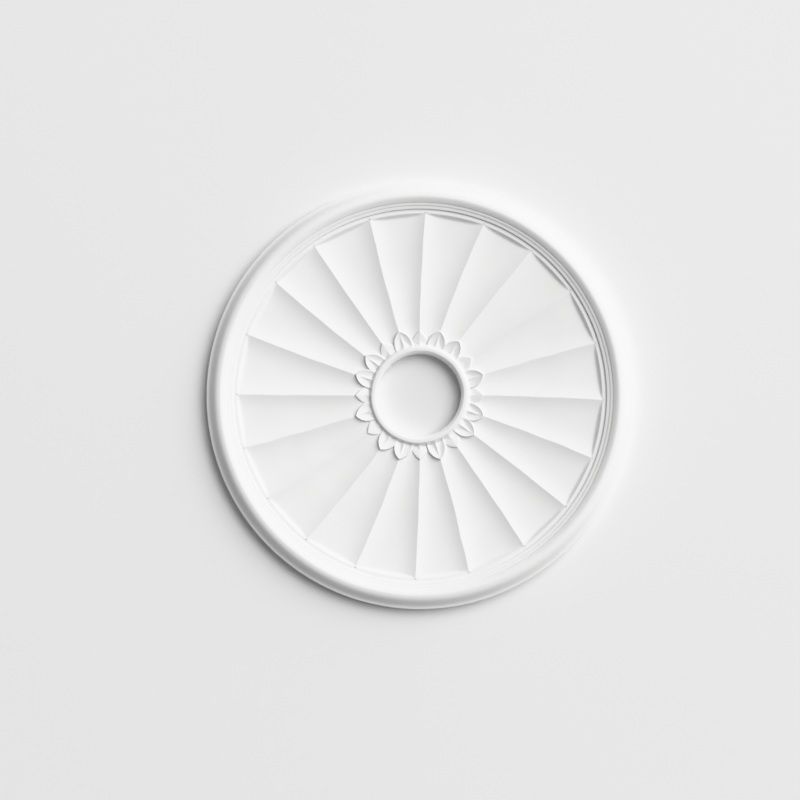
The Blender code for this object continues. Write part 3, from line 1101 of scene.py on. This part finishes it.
@dataclass(frozen=True)
class PaleWall:
    """The plain wall, left open behind the rose so that its back can be seen and lit."""

    plate_radius: float = 4.0
    gap: float = 0.4 * MM
    hole_radius: float = 58.9 * MM
    opening_radius: float = 299.4 * MM
    sides: int = 180
    tone: float = 0.82
    # The disc behind the centre hole is painted darker than the wall: painted shade that deepens the
    # hole's shadow.
    hole_shade_tone: float = 0.76
    roughness: float = 0.9
    specular: float = 0.1

    def build(self) -> None:
        """Stands a disc behind the centre hole, darker than the wall as painted shade, and a plate
        round the rose, facing the viewer.
        """
        angles = np.linspace(0.0, 2.0 * math.pi, self.sides, endpoint=False)
        circle = np.column_stack((np.cos(angles), np.full(self.sides, 0.0), np.sin(angles)))
        radii = (self.hole_radius, self.opening_radius, self.plate_radius)
        points = np.vstack([circle * radius for radius in radii]) + np.array([0.0, self.gap, 0.0])
        here = np.arange(self.sides)
        after = np.roll(here, -1)
        quads = np.column_stack((here, here + self.sides, after + self.sides, after)) + self.sides
        mesh = bpy.data.meshes.new("pale_wall")
        mesh.from_pydata(points, [], [tuple(here)] + [tuple(quad) for quad in quads])
        wall = placed("pale_wall", mesh)
        mesh.materials.append(self.material(self.tone))
        # The darker tone on the disc behind the hole is painted shade.
        mesh.materials.append(self.material(self.hole_shade_tone))
        mesh.polygons[0].material_index = 1

    def material(self, tone: float) -> bpy.types.Material:
        """Matt paint, seen through from behind.

        Args:
            tone: How pale it is, from 0 to 1.

        Returns:
            The new material.
        """
        material = bpy.data.materials.new("pale_wall")
        material.use_nodes = True
        tree = material.node_tree
        shader = tree.nodes["Principled BSDF"]
        shader.inputs["Base Color"].default_value = (tone, tone, tone, 1.0)
        shader.inputs["Roughness"].default_value = self.roughness
        shader.inputs["Specular IOR Level"].default_value = self.specular
        nodes = Shading(tree)
        clear = nodes.node("BsdfTransparent", {}).outputs["BSDF"]
        behind = nodes.node("NewGeometry", {}).outputs["Backfacing"]
        mix = nodes.node("MixShader", {"Fac": behind, 1: shader.outputs["BSDF"], 2: clear})
        tree.links.new(mix.outputs["Shader"], tree.nodes["Material Output"].inputs["Surface"])
        return material


@dataclass(frozen=True)
class SoftLight:
    """A round soft light, placed by the way it shines."""

    name: str
    azimuth_deg: float
    elevation_deg: float
    distance: float
    width: float
    power: float

    def build(self) -> None:
        """Hangs the light, turned towards the rose.

        The azimuth turns anticlockwise from +X as the rose is seen from the front, and the
        elevation is measured from the wall; a negative one lies behind it.
        """
        data = bpy.data.lights.new(self.name, "AREA")
        data.shape = "DISK"
        data.size = self.width
        data.energy = self.power
        light = placed(self.name, data)
        azimuth = math.radians(self.azimuth_deg)
        elevation = math.radians(self.elevation_deg)
        flat = math.cos(elevation)
        way = Vector((flat * math.cos(azimuth), -math.sin(elevation), flat * math.sin(azimuth)))
        light.location = way * self.distance
        light.rotation_euler = (-way).to_track_quat("-Z", "Y").to_euler()


@dataclass(frozen=True)
class PaleRoom:
    """The even light of the room, which the shadows never lose."""

    ambient: float = 0.17
    seen: float = 0.78

    def build(self) -> None:
        """Fills the world with a pale tone that looks brighter than the light it gives."""
        world = bpy.data.worlds.new("pale_room")
        world.use_nodes = True
        tree = world.node_tree
        light = tree.nodes["Background"]
        light.inputs["Color"].default_value = (1.0, 1.0, 1.0, 1.0)
        nodes = Shading(tree)
        direct = nodes.node("LightPath", {}).outputs["Is Camera Ray"]
        strength = nodes.blended("FLOAT", self.ambient, self.seen, direct)
        tree.links.new(strength, light.inputs["Strength"])
        bpy.context.scene.world = world


@dataclass(frozen=True)
class PhotoCamera:
    """The camera, a long lens a little below the rose's axis, looking slightly up."""

    lens: float = 100.0
    sensor: float = 36.0
    frame_width: float = 1.1306
    pitch_deg: float = 2.0
    aim_x: float = -27.8 * MM
    aim_z: float = -6.0 * MM
    clip_end: float = 100.0

    def build(self) -> None:
        """Stands the camera back until the frame is as wide as it should be at the wall."""
        data = bpy.data.cameras.new("camera")
        data.lens = self.lens
        data.sensor_width = self.sensor
        data.clip_end = self.clip_end
        camera = placed("camera", data)
        distance = self.frame_width * self.lens / self.sensor
        pitch = math.radians(self.pitch_deg)
        back = Vector((0.0, -math.cos(pitch), -math.sin(pitch)))
        camera.location = Vector((self.aim_x, 0.0, self.aim_z)) + back * distance
        camera.rotation_euler = (0.5 * math.pi + pitch, 0.0, 0.0)
        bpy.context.scene.camera = camera


@dataclass(frozen=True)
class FilmCurve:
    """The film: true to the light up to a shoulder, above which the highlights close up softly."""

    shoulder: float = 0.8
    brightest: float = 0.962
    clipped: float = 1.5
    steps: int = 9

    def develop(self) -> None:
        """Sets the view's curve, which nears its brightest value exponentially past the shoulder."""
        view = bpy.context.scene.view_settings
        view.view_transform = "Standard"
        view.use_curve_mapping = True
        mapping = view.curve_mapping
        mapping.white_level = (self.clipped, self.clipped, self.clipped)
        combined = mapping.curves[3]
        points = combined.points
        span = self.brightest - self.shoulder
        for light in np.geomspace(self.shoulder, self.clipped, self.steps):
            tone = self.shoulder + span * (1.0 - math.exp((self.shoulder - light) / span))
            if light < self.clipped - TINY:
                points.new(light / self.clipped, tone)
            else:
                points[-1].location = (1.0, tone)
        points[0].handle_type = "VECTOR"
        mapping.update()


def main() -> None:
    """Builds the camera, the rose and its setting."""
    FilmCurve().develop()
    PhotoCamera().build()
    low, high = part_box(NODE)
    rose = CeilingRose(outer_radius=min(-low.x, high.x, -low.z, high.z)).build(PaintedPlaster())
    log.info("%s: %d triangles", rose.name, len(rose.data.polygons))
    PaleWall().build()
    PaleRoom().build()
    from_window = {"azimuth_deg": 36.3, "distance": 30.0}
    SoftLight("window", elevation_deg=49.0, width=30.0, power=9380.0, **from_window).build()
    SoftLight("window_glow", elevation_deg=25.0, width=46.5, power=5600.0, **from_window).build()
    back = SoftLight(
        "back_window", azimuth_deg=140.0, elevation_deg=-42.0, distance=6.0, width=3.0, power=330.0
    )
    back.build()
    log.info("stage and lights are up")


if __name__ == "__main__":
    main()
